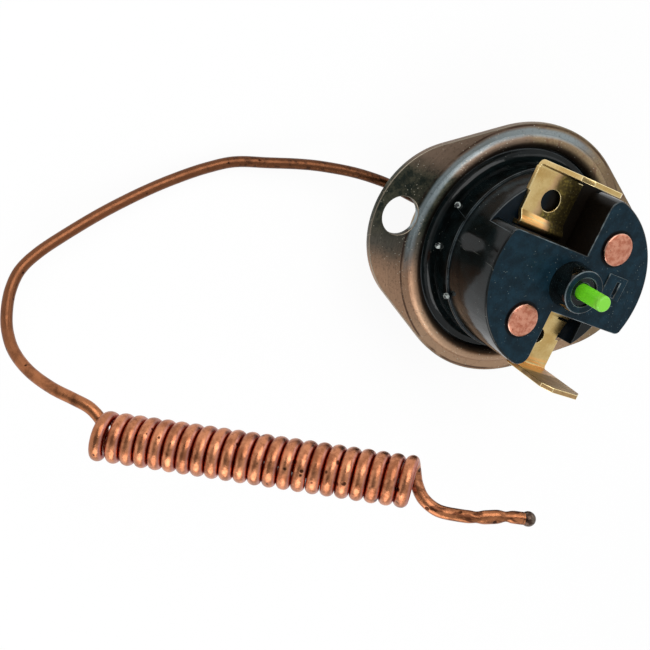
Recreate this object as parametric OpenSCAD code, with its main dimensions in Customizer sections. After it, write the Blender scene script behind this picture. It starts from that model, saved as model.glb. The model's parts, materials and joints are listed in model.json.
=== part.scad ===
// Thermal cutout with a manual reset button: a round moulded switch body in a two-hole flange,
// a pressure cup behind it, and a thin copper tube that ends in a wound sensing coil.
// Origin: axis of the body at the flange's rear face. +Z points out of the front, +X along the ears.

/* [Flange] */
// Thickness of the flange sheet
flange_t = 0.8; // [0.6:0.05:1]
// Radius of the flange's round middle
flange_r = 16.6; // [16.2:0.1:17.6]
// Radius of each ear's round end
ear_r = 11.3; // [10:0.1:12]
// Width of the sheet beyond each fixing hole
ear_edge = 1.1; // [0.8:0.1:1.6]
// Distance between the two fixing holes
hole_pitch = 36; // [34:0.5:37]
// Diameter of the fixing holes
ear_hole_d = 4.8; // [4:0.1:5.2]
// Radius of the rounded bead's section
bead_r = 1; // [0.8:0.05:1.1]

/* [Moulded body] */
// Radius of the shoulder held behind the flange
shoulder_r = 13.9; // [13.7:0.1:14.2]
// Height of the shoulder behind the flange
shoulder_h = 1.7; // [1.4:0.1:2.2]
// How far the ring that fills the flange's opening lies inside the shoulder
ring_step = 0.5; // [0.3:0.05:0.7]
// Height of that ring above the flange's rear face
ring_h = 0.3; // [0.2:0.05:0.6]
// How far the neck lies inside the ring
neck_step = 1.34; // [1.1:0.02:1.6]
// Rounding of the neck's foot
neck_fillet = 0.9; // [0.5:0.05:1]
// Height of the step where the neck meets the head
neck_top = 4.7; // [4:0.1:5]
// How far the head's foot lies inside the neck
head_step = 0.26; // [0.2:0.01:0.4]
// How much the head's radius shrinks up to the face
head_draft = 0.3; // [0:0.05:0.5]
// Height of the front face
face_z = 12.8; // [12:0.1:13.6]
// Rounding of the face's outer edge
face_edge = 0.3; // [0.1:0.05:0.5]
// Half width of the bar between the two terminal pockets
bar_half = 3.83; // [3.6:0.05:4]
// Distance of each pocket's side wall past the centre line
pocket_side = 0.56; // [0.3:0.05:0.8]
// Height of the pocket floors
pocket_z = 8.3; // [8:0.1:8.7]
// Extra depth of the channel for the lower terminal
channel_drop = 2.6; // [2.2:0.1:2.8]
// Rounding of the bar's corners
bar_corner_r = 1; // [0.5:0.1:1.5]
// Rounding of the lobes' corners
lobe_corner_r = 1.5; // [0.8:0.1:2]
// Turn of the moulded body in the flange, in degrees
body_turn = -3; // [-10:1:10]

/* [Inside of the body] */
// Thickness of the wall round the switch chamber
chamber_wall = 1.8; // [1.6:0.1:1.9]
// Height of the switch chamber's ceiling
chamber_z = 4; // [3.9:0.05:4.3]
// Width of the ledge that the guide plate rests on
guide_ledge = 0.5; // [0.3:0.1:0.8]
// Thickness of the guide plate
guide_plate_t = 0.8; // [0.6:0.1:1]
// Radius of the well above the contact arm
well_r = 3; // [2.5:0.1:3.3]
// Height of the well's ceiling
well_z = 7.6; // [7.2:0.1:8]

/* [Reset button] */
// Outer radius of the boss round the button, at its end
boss_r = 2.65; // [2.5:0.05:2.8]
// Extra radius of the boss at its foot
boss_draft = 0.23; // [0:0.01:0.4]
// Height of the boss above the face
boss_h = 2.9; // [2:0.1:4]
// Radius of the boss's bore
boss_bore_r = 1.78; // [1.7:0.02:1.9]
// Height of the bore's floor
bore_floor_z = 9.6; // [9.2:0.1:10]
// Radius of the button's tip
tip_r = 0.97; // [0.8:0.01:1]
// Height of the end of the button's tip
tip_z = 19.6; // [18:0.1:20]
// Rounding of the tip's end
tip_round = 0.35; // [0.1:0.05:0.6]
// Radius of the button's stem
stem_r = 0.8; // [0.7:0.01:0.9]
// Height of the lower end of the stem
stem_z = 5; // [4.9:0.1:5.4]
// Height of the underside of the button's collar
collar_z = 13.2; // [12.8:0.1:13.6]
// Thickness of the collar
collar_t = 0.8; // [0.6:0.1:1.2]
// Depth of the guide ring's face below the end of the boss
guide_sink = 0.3; // [0.1:0.05:0.6]
// Running clearance round the stem and the collar
run_gap = 0.08; // [0.05:0.01:0.1]
// Thickness of the retaining clip
clip_t = 0.4; // [0.3:0.05:0.5]
// Outer radius of the retaining clip
clip_r = 1.8; // [1.5:0.1:2.2]
// Wire thickness of the reset spring
spring_wire = 0.28; // [0.2:0.02:0.34]
// Number of the reset spring's turns
spring_turns = 5; // [4:1:7]

/* [Terminals] */
// Width of the push-on tabs
tab_w = 6.3; // [4.8:0.1:6.4]
// Thickness of the terminal sheet
tab_t = 0.6; // [0.5:0.05:0.8]
// Length of the tab above its plate
tab_len = 8.65; // [7:0.05:10]
// Chamfer of the tab's corners
tab_chamfer = 1.1; // [0.5:0.1:1.4]
// Distance from the axis to the middle of the upper tab
upper_tab_y = 11.7; // [11.4:0.1:13]
// Distance from the axis to the middle of the lower tab
lower_tab_y = 12.5; // [11.8:0.1:13]
// Outer edge of the terminal plates, from the centre line
plate_out = 8.6; // [8.55:0.05:8.7]
// Inner edge of the terminal plates, from the centre line
plate_in = 1.5; // [1.45:0.05:1.8]
// Rise of the upper terminal's fold where its plate meets the bar
upper_fold = 1.15; // [0.9:0.05:1.3]
// Rise of the lower terminal's fold
lower_fold = 0.4; // [0.35:0.05:0.5]
// Radius of the hole in the upper terminal's plate
plate_hole_r = 1.35; // [0.8:0.05:1.5]
// Radius of the hole in the lower terminal's plate
lower_hole_r = 1; // [0.6:0.05:1.5]
// Width of the terminal's leg
leg_w = 5.5; // [4.5:0.1:5.6]
// Gap round the leg in its slot
slot_gap = 0.08; // [0.05:0.01:0.12]

/* [Rivets and contacts] */
// Distance of the rivets from the edge of the face
rivet_in = 4.26; // [4.1:0.02:4.4]
// Direction of the rivets from the axis, in degrees
rivet_turn = 54.55; // [53.5:0.05:55.5]
// Radius of the rivets' shanks
rivet_shank_r = 1; // [0.8:0.05:1.1]
// Radius of the rivets' heads
rivet_head_r = 2.06; // [1.8:0.02:2.2]
// Height of the rivets' domed heads
rivet_head_h = 0.75; // [0.5:0.05:0.9]
// Radius of the rivets' closed ends
rivet_tail_r = 1.9; // [1.7:0.1:2]
// Thickness of the contact arm
arm_t = 0.3; // [0.2:0.05:0.35]
// Width of the contact arm
arm_w = 2.8; // [2.2:0.1:3]
// Free height above and under the arm at its pivot
arm_play = 0.2; // [0.18:0.01:0.25]
// Radius of the pivot bush
bush_r = 1.5; // [1.4:0.05:1.55]
// Distance from the axis to the contacts
contact_reach = 3.3; // [3.2:0.1:3.5]
// Radius of the moving contact
moving_contact_r = 1.1; // [0.9:0.05:1.15]
// Radius of the fixed contact
fixed_contact_r = 1.2; // [1:0.05:1.3]
// Height of each contact's face above its carrier
contact_h = 0.5; // [0.4:0.05:0.55]

/* [Pressure capsule] */
// Thickness of the pressure cup's sheet
cup_t = 0.5; // [0.4:0.05:0.6]
// Width of the cup's rim behind the flange
cup_rim_w = 0.95; // [0.6:0.05:1.2]
// Inner radius of the cup's deep part
cup_deep_r = 12.4; // [12.2:0.1:12.6]
// Depth of the cup's inner floor behind the flange
cup_floor = 3.95; // [3.9:0.05:4.4]
// Thickness of the diaphragm
diaphragm_t = 0.25; // [0.2:0.01:0.3]
// Rise of the diaphragm's middle above its rim
diaphragm_rise = 0.3; // [0.25:0.01:0.35]
// Radius of the pad on the diaphragm
pad_r = 3.5; // [2.5:0.1:4.5]
// Thickness of the pad on the diaphragm
pad_t = 0.4; // [0.3:0.05:0.45]
// Radius of the transfer pin
pin_r = 0.9; // [0.8:0.01:1]

/* [Capillary and sensing coil] */
// Outer diameter of the copper tube
tube_d = 1.3; // [1:0.05:1.35]
// Direction in which the tube leaves the cup, in degrees
exit_angle = 172; // [171:1:173]
// Depth of the tube's axis behind the flange where it leaves the cup
exit_depth = 3.3; // [3.25:0.01:3.3]
// Number of turns of the sensing coil
coil_turns = 22; // [22:1:22]
// Distance from turn to turn
coil_pitch = 1.46; // [1.45:0.005:1.47]
// Diameter of the coil at the middle of the tube
coil_d = 4; // [3.9:0.05:4.1]
// Extra gap of the coil's loose first turn
coil_loose = 0.45; // [0:0.05:0.5]
// Share by which winding has widened the tube along the coil
coil_oval = 0.1; // [0:0.01:0.1]
// Smallest gap between the coil's turns
turn_gap = 0.02; // [0.01:0.01:0.05]
// Radius of the solder bead on the tube's end
bead_end_r = 0.78; // [0.7:0.01:0.9]

/* [Hidden] */
$fn = 64;
eps = 0.01;
beyond = 20;
register_gap = 0.05;

// Radii of the body, from the shoulder inwards
ring_r = shoulder_r - ring_step;
neck_r = ring_r - neck_step;
head_r = neck_r - head_step;
chamber_r = head_r - chamber_wall;
guide_plate_r = chamber_r + guide_ledge;
face_r = head_r - head_draft;

// Flange
ear_offset = (hole_pitch + ear_hole_d) / 2 + ear_edge - ear_r;
opening_r = ring_r + register_gap;
bead_centre_r = opening_r + bead_r;
bead_centre_z = 0.35;

// Heights inside the body, from the ceiling down
upper_foot_z = chamber_z - tab_t;
arm_top = upper_foot_z - arm_play;
arm_z = arm_top - arm_t;
bush_z = arm_z - arm_play;
lower_foot_top = arm_z - 2 * contact_h;
lower_foot_z = lower_foot_top - tab_t;
tail_h = 0.6;
guide_plate_z = lower_foot_z - tail_h - 0.2 - guide_plate_t;
guide_plate_top = guide_plate_z + guide_plate_t;

// Terminals
channel_z = pocket_z - channel_drop;
leg_y = bar_half + slot_gap + tab_t / 2;
leg_out = plate_in + 0.5 + leg_w;
leg_in = plate_in + 0.5;
tab_bend_r = tab_t;
step_y = 8.1;
step_in = 0.3;
lower_trim = 0.15;
lower_waist = 0.5;
upper_fold_run = 1.5;
lower_fold_run = 0.95;
hole_x = -4.9;
upper_hole_y = 7.9;
lower_hole_y = 8.3;
slit_w = 0.25;
slit_len = 1.7;

// Rivets, and contacts on the line from the upper rivet through the axis
rivet_reach = face_r - rivet_in;
rivet_x = rivet_reach * cos(rivet_turn);
rivet_y = rivet_reach * sin(rivet_turn);
contact_x = -contact_reach * cos(rivet_turn);
contact_y = -contact_reach * sin(rivet_turn);
contact_head = 0.12;
arm_root_r = 2.4;
contact_shank_r = 0.5;

// Pressure cup
ledge_z = -shoulder_h - diaphragm_t;
cup_wall_r = shoulder_r + register_gap;
cup_outer_r = cup_wall_r + cup_t;
cup_deep_outer_r = cup_deep_r + cup_t;
cup_rim_r = cup_outer_r + cup_rim_w;
cup_back_z = -cup_floor - cup_t;
cup_edge = 0.5;
crown_r = 4.5;
pad_z = -shoulder_h + diaphragm_rise;
ripple_h = 0.12;
cup_ring = [5.6, 7, 0.15];

// Small marks of the mould: a raised pad with a slot on the face, and pips on the neck
pad_corner = [4.9, 0];
pad_size = [3.2, 3];
pad_rise = 0.2;
slot_corner = [6.63, 0.3];
slot_size = [0.45, 2];
pip_r = 0.4;
pips = [[166.5, 2], [192.1, 2], [218.5, neck_top]];

// Tube: its axis leaves the cup square to the wall, then follows points bent by hand
tube_r = tube_d / 2;
tube_sides = 8;
exit_r = [cup_deep_r + eps, cup_deep_r + 1, cup_deep_r + 2.4];
lead_points = [[-17, 2.4, -3.3], [-19.4, 2.7, -3.5], [-23.1, 2.6, -4.2], [-27.1, 2, -5],
    [-30, 1.3, -5.6], [-33.4, 0.3, -6.1], [-37.2, -0.8, -6.5], [-40, -2.3, -6.6],
    [-43.1, -4.4, -6.5], [-46.6, -7.1, -6.2], [-50.6, -10.7, -5.8], [-54.3, -14.4, -5.1],
    [-56.5, -16.8, -4.5], [-57.9, -18.8, -3.7], [-58.5, -20.8, -2.6], [-58.6, -22.7, -1.1],
    [-58.3, -24.4, 0.5], [-57.5, -25.8, 2.6], [-56, -26.7, 5], [-54, -27, 7.6],
    [-52, -27, 9.5], [-50.5, -27.1, 10.8]];
tail_points = [[-23.5, -19.4, 29.7], [-22.9, -20.7, 30.2], [-22, -21.8, 31], [-20.6, -22.3, 32],
    [-18.7, -22.1, 32.8], [-16.8, -21.6, 33.6], [-14.4, -20.7, 34.4], [-12.6, -20.3, 35]];
lead_steps = 2;
tail_steps = 3;
coil_start = [-49, -28.5, 14];
coil_heading = 18.6;
coil_climb = 33.2;
coil_front = 67.3;
coil_first = 135;
coil_last = 360 * coil_turns + 100;
coil_step = 30;
crimp_at = 0.8;
crimp_wide = 0.12;
crimp_flat = 0.3;

// Turns that touch stop the tube from widening further
turn_slant = atan(coil_pitch / (PI * coil_d));
oval = min(coil_oval, (coil_pitch * cos(turn_slant) - turn_gap) / tube_d - 1);

// Directions along the coil and across it
coil_along = [cos(coil_climb) * cos(coil_heading), cos(coil_climb) * sin(coil_heading), sin(coil_climb)];
coil_side = [-sin(coil_heading), cos(coil_heading), 0];
coil_up = cross(coil_along, coil_side);

// A point on the helix, wound left-handed from the front of its first turn
function coil_out(a) = coil_side * cos(coil_front - a) + coil_up * sin(coil_front - a);
function coil_point(a) = coil_start + coil_out(a) * coil_d / 2
    + coil_along * (coil_pitch * (a - 360) / 360 - coil_loose * max(0, 1 - a / 720));

// A smooth curve from b to c, with a and d as the points before and after
function curve(a, b, c, d, t) = (2 * b + (c - a) * t + (2 * a - 5 * b + 4 * c - d) * t * t
    + (3 * b - a - 3 * c + d) * t * t * t) / 2;
function smooth(p, steps) = [for (i = [1 : len(p) - 3]) for (k = [0 : steps - 1])
    curve(p[i - 1], p[i], p[i + 1], p[i + 2], k / steps)];

exit_points = [for (r = exit_r) [r * cos(exit_angle), r * sin(exit_angle), -exit_depth]];
lead_path = smooth(concat([2 * exit_points[0] - exit_points[1]], exit_points, lead_points,
    [coil_point(coil_first), coil_point(coil_first + coil_step)]), lead_steps);
coil_angles = [for (a = [coil_first : coil_step : coil_last - 1]) a];
coil_path = [for (a = coil_angles) coil_point(a)];
tail_controls = concat([coil_point(coil_last - coil_step), coil_point(coil_last)], tail_points,
    [2 * tail_points[7] - tail_points[6]]);
tail_path = concat(smooth(tail_controls, tail_steps), [tail_points[7]]);
tube_path = concat(lead_path, coil_path, tail_path);

function unit(v) = v / norm(v);
function heading_at(p, i) = unit(p[min(i + 1, len(p) - 1)] - p[max(i - 1, 0)]);
// The side direction is carried from ring to ring without twisting
function carried(side, along) = unit(side - (side * along) * along);
function sides_along(p, first) = [for (i = 0, s = carried(first, heading_at(p, 0)); i < len(p);
    i = i + 1, s = i < len(p) ? carried(s, heading_at(p, i)) : s) s];
function reversed(l) = [for (i = [len(l) - 1 : -1 : 0]) l[i]];

// Body pieces are drawn in the body's own turn
module in_body() {
    rotate([0, 0, body_turn]) children();
}

module bar_2d(x0, x1, y0, y1) {
    translate([x0, y0]) square([x1 - x0, y1 - y0]);
}

module block(x0, x1, y0, y1, z0, z1) {
    translate([x0, y0, z0]) cube([x1 - x0, y1 - y0, z1 - z0]);
}

module drum(r, z0, z1) {
    translate([0, 0, z0]) cylinder(r = r, h = z1 - z0);
}

// Outline of two round ears joined to a round middle by their common tangents
module flange_outline() {
    lean = acos((flange_r - ear_r) / ear_offset);
    corner = [for (s = [1, -1]) [for (q = [[0, flange_r], [ear_offset, ear_r]])
        [s * (q[0] + q[1] * cos(lean)), q[1] * sin(lean)]]];
    circle(r = flange_r, $fn = 128);
    for (s = [1, -1]) translate([s * ear_offset, 0]) circle(r = ear_r, $fn = 96);
    polygon([corner[0][0], corner[0][1], [corner[0][1][0], -corner[0][1][1]],
        [corner[0][0][0], -corner[0][0][1]], [corner[1][0][0], -corner[1][0][1]],
        [corner[1][1][0], -corner[1][1][1]], corner[1][1], corner[1][0]]);
}

module flange() {
    color("#7a6a52") {
        linear_extrude(flange_t) difference() {
            flange_outline();
            circle(r = bead_centre_r);
            for (s = [1, -1]) translate([s * hole_pitch / 2, 0]) circle(d = ear_hole_d);
        }
        rotate_extrude($fn = 128) intersection() {
            union() {
                translate([bead_centre_r, bead_centre_z]) circle(r = bead_r, $fn = 32);
                bar_2d(bead_centre_r, bead_centre_r + bead_r, 0, flange_t);
            }
            bar_2d(0, beyond, 0, beyond);
        }
    }
}

module pressure_cup() {
    color("#8a7a60") difference() {
        rotate_extrude($fn = 128) polygon(concat(
            [[0, cup_back_z], [cup_deep_outer_r - 2 * cup_edge - 0.6, cup_back_z]],
            [for (a = [-90 : 15 : 0]) [cup_deep_outer_r - cup_edge + cup_edge * cos(a),
                cup_back_z + cup_edge + cup_edge * sin(a)]],
            [[cup_deep_outer_r, ledge_z - cup_t], [cup_outer_r - cup_edge, ledge_z - cup_t]],
            [for (a = [-90 : 15 : 0]) [cup_outer_r - cup_edge + cup_edge * cos(a),
                ledge_z - cup_t + cup_edge + cup_edge * sin(a)]],
            [[cup_outer_r, -cup_t], [cup_rim_r, -cup_t], [cup_rim_r, 0], [cup_wall_r, 0],
                [cup_wall_r, ledge_z], [cup_deep_r, ledge_z], [cup_deep_r, -cup_floor],
                [0, -cup_floor]]));
        tube_bore(cup_deep_r - 1, cup_deep_outer_r + 1);
        translate([0, 0, cup_back_z - eps]) difference() {
            cylinder(r = cup_ring[1], h = cup_ring[2]);
            cylinder(r = cup_ring[0], h = 1, center = true);
        }
    }
}

// The hole that the tube passes through, from one radius to another
module tube_bore(r0, r1) {
    rotate([0, 0, exit_angle]) translate([r0, 0, -exit_depth]) rotate([0, 90, 0])
        cylinder(r = tube_r + eps, h = r1 - r0);
}

// Thin disc with two pressed rings and a raised middle
module diaphragm() {
    low = -shoulder_h - diaphragm_t;
    rings = [[crown_r, diaphragm_rise], [crown_r + 1.2, 0], [7, ripple_h], [8, 0], [9, ripple_h], [10, 0]];
    color("#b8bcc0") rotate_extrude($fn = 96) polygon(concat(
        [[0, low + diaphragm_rise]],
        [for (q = rings) [q[0], low + q[1]]],
        [[shoulder_r, low], [shoulder_r, low + diaphragm_t]],
        [for (i = [len(rings) - 1 : -1 : 0]) [rings[i][0], low + diaphragm_t + rings[i][1]]],
        [[0, low + diaphragm_t + diaphragm_rise]]));
}

module diaphragm_pad() {
    color("#c9cdd0") rotate_extrude() polygon([[0, pad_z], [pad_r, pad_z],
        [pad_r, pad_z + pad_t / 2], [pad_r - pad_t / 2, pad_z + pad_t], [0, pad_z + pad_t]]);
}

// Disc that closes the switch chamber and guides the transfer pin
module guide_plate() {
    color("#3a2c20") difference() {
        union() {
            drum(guide_plate_r, guide_plate_z, guide_plate_top);
            drum(2.2, guide_plate_z, guide_plate_top + 0.4);
        }
        drum(pin_r + run_gap, -beyond, beyond);
        in_body() for (a = [0, 180]) rotate([0, 0, a]) translate([-guide_plate_r, 0, 0])
            drum(0.8, -beyond, beyond);
    }
}

// Outer form of the moulding, from the shoulder to the rounded face
module body_form() {
    fillet = min(neck_fillet, neck_step - 0.15);
    rotate_extrude($fn = 128) polygon(concat(
        [[0, -shoulder_h], [shoulder_r, -shoulder_h], [shoulder_r, 0], [ring_r, 0],
            [ring_r, ring_h - 0.1], [ring_r - 0.1, ring_h]],
        [for (a = [-90 : -15 : -180]) [neck_r + fillet + fillet * cos(a),
            ring_h + fillet + fillet * sin(a)]],
        [[neck_r, neck_top - 0.12], [neck_r - 0.12, neck_top], [head_r, neck_top]],
        [for (a = [0 : 15 : 90]) [face_r - face_edge + face_edge * cos(a),
            face_z - face_edge + face_edge * sin(a)]],
        [[0, face_z]]));
}

// What a rounded corner takes away between directions a and b, measured in degrees
module corner_round(x, y, r, a, b) {
    reach = 3 * r;
    middle = (a + b) / 2;
    translate([x, y]) difference() {
        polygon([[0, 0], reach * [cos(a), sin(a)], 1.3 * reach * [cos(middle), sin(middle)],
            reach * [cos(b), sin(b)]]);
        circle(r = r);
    }
}

// One terminal pocket: the space beyond the bar and beside the lobe
module pocket_2d() {
    bar_y = bar_half - bar_corner_r;
    bar_x = -sqrt(pow(face_r - bar_corner_r, 2) - bar_y * bar_y);
    lobe_x = pocket_side + lobe_corner_r;
    lobe_y = sqrt(pow(face_r - lobe_corner_r, 2) - lobe_x * lobe_x);
    bar_2d(-beyond, pocket_side, bar_half, beyond);
    corner_round(bar_x, bar_y, bar_corner_r, 90, atan2(bar_y, bar_x));
    corner_round(lobe_x, lobe_y, lobe_corner_r, atan2(lobe_y, lobe_x), 180);
}

// Slot for a terminal's leg, wider at the ceiling where the leg bends into its foot
module leg_slot() {
    outer_y = leg_y + tab_t / 2 + slot_gap;
    block(-leg_out - slot_gap, -leg_in + slot_gap, bar_half, outer_y, 0, beyond);
    block(-leg_out - slot_gap, -leg_in + slot_gap, bar_half, outer_y + tab_t, 0,
        chamber_z + tab_t / 2);
}

module housing() {
    half = [0, 180];
    color("#1e2224") in_body() difference() {
        union() {
            difference() {
                body_form();
                for (a = half) rotate([0, 0, a]) translate([0, 0, pocket_z])
                    linear_extrude(beyond) pocket_2d();
            }
            translate([0, 0, face_z - eps])
                cylinder(r1 = boss_r + boss_draft, r2 = boss_r, h = boss_h + eps);
            difference() {
                translate([pad_corner[0], pad_corner[1], face_z - eps])
                    cube([pad_size[0], pad_size[1], pad_rise + eps]);
                translate([slot_corner[0], slot_corner[1], face_z])
                    cube([slot_size[0], slot_size[1], 1]);
            }
            for (q = pips) rotate([0, 0, q[0]]) translate([neck_r + pip_r / 2, 0, q[1]])
                sphere(r = pip_r, $fn = 24);
        }
        rotate([0, 0, 180]) block(-plate_out - 0.15, -plate_in + 0.15, bar_half, beyond,
            channel_z, beyond);
        difference() {
            union() {
                drum(chamber_r, -beyond, chamber_z);
                drum(guide_plate_r + 0.1, -beyond, guide_plate_top);
            }
            translate([-rivet_x, -rivet_y, 0]) drum(2, lower_foot_top, beyond);
        }
        for (a = half) rotate([0, 0, a]) {
            leg_slot();
            translate([rivet_x, rivet_y, 0]) drum(rivet_shank_r + eps, 0, beyond);
        }
        drum(well_r, 0, well_z);
        drum(stem_r + run_gap, 0, beyond);
        drum(boss_bore_r, bore_floor_z, beyond);
    }
}

// Centre line of a bent strip: straight runs joined by arcs, each entry a point and its heading
function turn(a) = a > 180 ? a - 360 : a < -180 ? a + 360 : a;
function run_heading(p, i) = atan2(p[i + 1][1] - p[i][1], p[i + 1][0] - p[i][0]);
function bend(p, i, r, n) = let (a = run_heading(p, i - 1), w = turn(run_heading(p, i) - a),
        s = sign(w), back = r * tan(abs(w) / 2), from = p[i] - back * [cos(a), sin(a)],
        c = from + s * r * [-sin(a), cos(a)])
    [for (k = [0 : n]) [c - s * r * [-sin(a + w * k / n), cos(a + w * k / n)], a + w * k / n]];
function strip_line(p, radii) = concat([[p[0], run_heading(p, 0)]],
    [for (i = [1 : len(p) - 2]) each bend(p, i, radii[i - 1], 6)],
    [[p[len(p) - 1], run_heading(p, len(p) - 2)]]);
function strip_side(line, d) = [for (q = line) q[0] + d * [-sin(q[1]), cos(q[1])]];
function strip(line, t) = concat(strip_side(line, -t / 2), reversed(strip_side(line, t / 2)));

// A terminal bent from one strip: foot, leg, fold, plate and push-on tab. The plate's outer edge
// is drawn in at its root and at its waist, and the hole is given by its distance and radius
module terminal(plate_z, tab_y, foot_z, fold, fold_run, out, root, waist, hole, seat) {
    mid_z = plate_z + tab_t / 2;
    tip = plate_z + tab_t + tab_len;
    line = strip_line([[rivet_y + 2, foot_z + tab_t / 2], [leg_y, foot_z + tab_t / 2],
        [leg_y, mid_z + fold], [leg_y + fold_run, mid_z], [tab_y, mid_z], [tab_y, tip]],
        [tab_t, 0.4, 0.5, tab_bend_r]);
    bend_y = tab_y - tab_bend_r;
    difference() {
        union() {
            intersection() {
                rotate([90, 0, -90]) mirror([1, 0, 0]) translate([0, 0, -beyond / 2])
                    linear_extrude(2 * beyond) polygon(strip(line, tab_t));
                union() {
                    block(-out, -plate_in, step_y, bend_y, plate_z, plate_z + 3);
                    translate([0, 0, plate_z]) linear_extrude(3) polygon([[-plate_in, leg_y - 2],
                        [-plate_in, step_y], [-out + waist, step_y], [-out + waist, step_y - 0.3],
                        [-out + root, leg_y + fold_run], [-out + root, leg_y - 2]]);
                    block(-leg_out, -leg_in, leg_y - 2, leg_y + 0.5, foot_z, plate_z);
                    block(-leg_out, -leg_in, leg_y - 2, beyond, foot_z - eps, foot_z + tab_t + 1);
                    translate([-plate_out + 0.1, bend_y, 0]) tab_mask(plate_z, tip);
                }
            }
            translate([0, 0, foot_z]) linear_extrude(tab_t) {
                bar_2d(-leg_in - 1, rivet_x, leg_y + 0.5, rivet_y + 2);
                translate([rivet_x, rivet_y]) circle(r = 2);
                if (seat) {
                    bar_2d(-contact_x - 1.5, -contact_x + 1.5, -contact_y, rivet_y);
                    translate([-contact_x, -contact_y]) circle(r = 1.5);
                }
            }
        }
        translate([hole_x, hole[0], 0]) drum(hole[1], plate_z - 1, plate_z + 2);
        if (seat) block(-beyond, -out + slit_len, leg_y + fold_run, leg_y + fold_run + slit_w,
            plate_z - 1, plate_z + 3);
        translate([rivet_x, rivet_y, 0]) drum(rivet_shank_r + eps, foot_z - 1, foot_z + 2);
        if (seat) translate([-contact_x, -contact_y, 0]) drum(contact_shank_r, foot_z - 1, foot_z + 2);
        difference() {
            drum(beyond, foot_z - 1, foot_z + tab_t + eps);
            drum(chamber_r - 0.3, foot_z - 2, foot_z + 2);
        }
    }
}

// Outline of the tab as seen from the side of the body, with two chamfered corners
module tab_mask(z0, z1) {
    rotate([90, 0, 0]) translate([0, 0, -beyond]) linear_extrude(beyond)
        polygon([[0, z0], [tab_w, z0], [tab_w, z1 - tab_chamfer], [tab_w - tab_chamfer, z1],
            [tab_chamfer, z1], [0, z1 - tab_chamfer]]);
}

module upper_terminal() {
    color("#c8ab5e") in_body() terminal(pocket_z, upper_tab_y, upper_foot_z,
        upper_fold, upper_fold_run, plate_out, step_in, step_in, [upper_hole_y, plate_hole_r], false);
}

module lower_terminal() {
    color("#c8ab5e") in_body() rotate([0, 0, 180])
        terminal(channel_z, lower_tab_y, lower_foot_z, lower_fold, lower_fold_run,
            plate_out - lower_trim, 0, lower_waist, [lower_hole_y, lower_hole_r], true);
}

// A rivet with a domed head on the face and a closed end at the given height
module rivet(closed_z) {
    rim = 0.35;
    dome = rivet_head_h - rim;
    ball_r = (rivet_head_r * rivet_head_r + dome * dome) / (2 * dome);
    span = asin(rivet_head_r / ball_r);
    color("#c9795b") in_body() translate([rivet_x, rivet_y, 0]) rotate_extrude() polygon(concat(
        [[0, closed_z - tail_h], [rivet_tail_r - 0.3, closed_z - tail_h],
            [rivet_tail_r, closed_z - tail_h + 0.3], [rivet_tail_r, closed_z],
            [rivet_shank_r, closed_z], [rivet_shank_r, face_z], [rivet_head_r, face_z]],
        [for (k = [0 : 6]) [ball_r * sin(span * (1 - k / 6)),
            face_z + rim + dome - ball_r + ball_r * cos(span * (1 - k / 6))]]));
}

module upper_rivet() {
    rivet(bush_z);
}

module lower_rivet() {
    rotate([0, 0, 180]) rivet(lower_foot_z);
}

module pivot_bush() {
    color("#b49a58") in_body() translate([rivet_x, rivet_y, 0]) difference() {
        drum(bush_r, bush_z, upper_foot_z);
        drum(rivet_shank_r + eps, bush_z - 1, upper_foot_z + 1);
    }
}

// Flat arm from its pivot on the upper rivet, across the axis, to the moving contact
module contact_arm() {
    color("#c58b4e") in_body() translate([0, 0, arm_z]) linear_extrude(arm_t) difference() {
        union() {
            translate([rivet_x, rivet_y]) circle(r = arm_root_r);
            translate([contact_x, contact_y]) circle(d = arm_w);
            rotate([0, 0, rivet_turn]) bar_2d(-contact_reach, rivet_reach,
                -arm_w / 2, arm_w / 2);
        }
        translate([rivet_x, rivet_y]) circle(r = bush_r + run_gap);
        translate([contact_x, contact_y]) circle(r = contact_shank_r);
    }
}

module moving_contact() {
    color("#d5d8da") in_body() translate([contact_x, contact_y, 0]) rotate_extrude() polygon([
        [0, arm_z - contact_h], [moving_contact_r - 0.2, arm_z - contact_h],
        [moving_contact_r, arm_z - contact_h + 0.2], [moving_contact_r, arm_z],
        [contact_shank_r, arm_z], [contact_shank_r, arm_top], [0.8, arm_top],
        [0.6, arm_top + contact_head], [0, arm_top + contact_head]]);
}

module fixed_contact() {
    color("#d5d8da") in_body() translate([contact_x, contact_y, 0]) rotate_extrude() polygon([
        [0, lower_foot_z], [contact_shank_r, lower_foot_z], [contact_shank_r, lower_foot_top],
        [fixed_contact_r, lower_foot_top], [fixed_contact_r, lower_foot_top + contact_h - 0.2],
        [fixed_contact_r - 0.2, lower_foot_top + contact_h], [0, lower_foot_top + contact_h]]);
}

// Pin with a crowned end, from the diaphragm's pad to the arm
module transfer_pin() {
    crown = 0.12;
    ball_r = (pin_r * pin_r + crown * crown) / (2 * crown);
    span = asin(pin_r / ball_r);
    color("#e6e2d6") rotate_extrude() polygon(concat([[0, pad_z + pad_t], [pin_r, pad_z + pad_t]],
        [for (k = [0 : 4]) [ball_r * sin(span * (1 - k / 4)),
            arm_z - ball_r + ball_r * cos(span * (1 - k / 4))]]));
}

// Button in one moulding: round-ended tip, collar, stem and clip groove
module reset_button() {
    collar_r = boss_bore_r - run_gap;
    groove_r = stem_r - 0.2;
    clip_z = well_z - 0.1 - clip_t;
    color("#6fc832") rotate_extrude() polygon(concat(
        [[0, stem_z], [stem_r - 0.15, stem_z], [stem_r, stem_z + 0.15], [stem_r, clip_z],
            [groove_r, clip_z], [groove_r, clip_z + clip_t], [stem_r, clip_z + clip_t],
            [stem_r, collar_z], [collar_r, collar_z], [collar_r, collar_z + collar_t],
            [tip_r, collar_z + collar_t]],
        [for (a = [0 : 15 : 90]) [tip_r - tip_round + tip_round * cos(a),
            tip_z - tip_round + tip_round * sin(a)]],
        [[0, tip_z]]));
}

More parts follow.
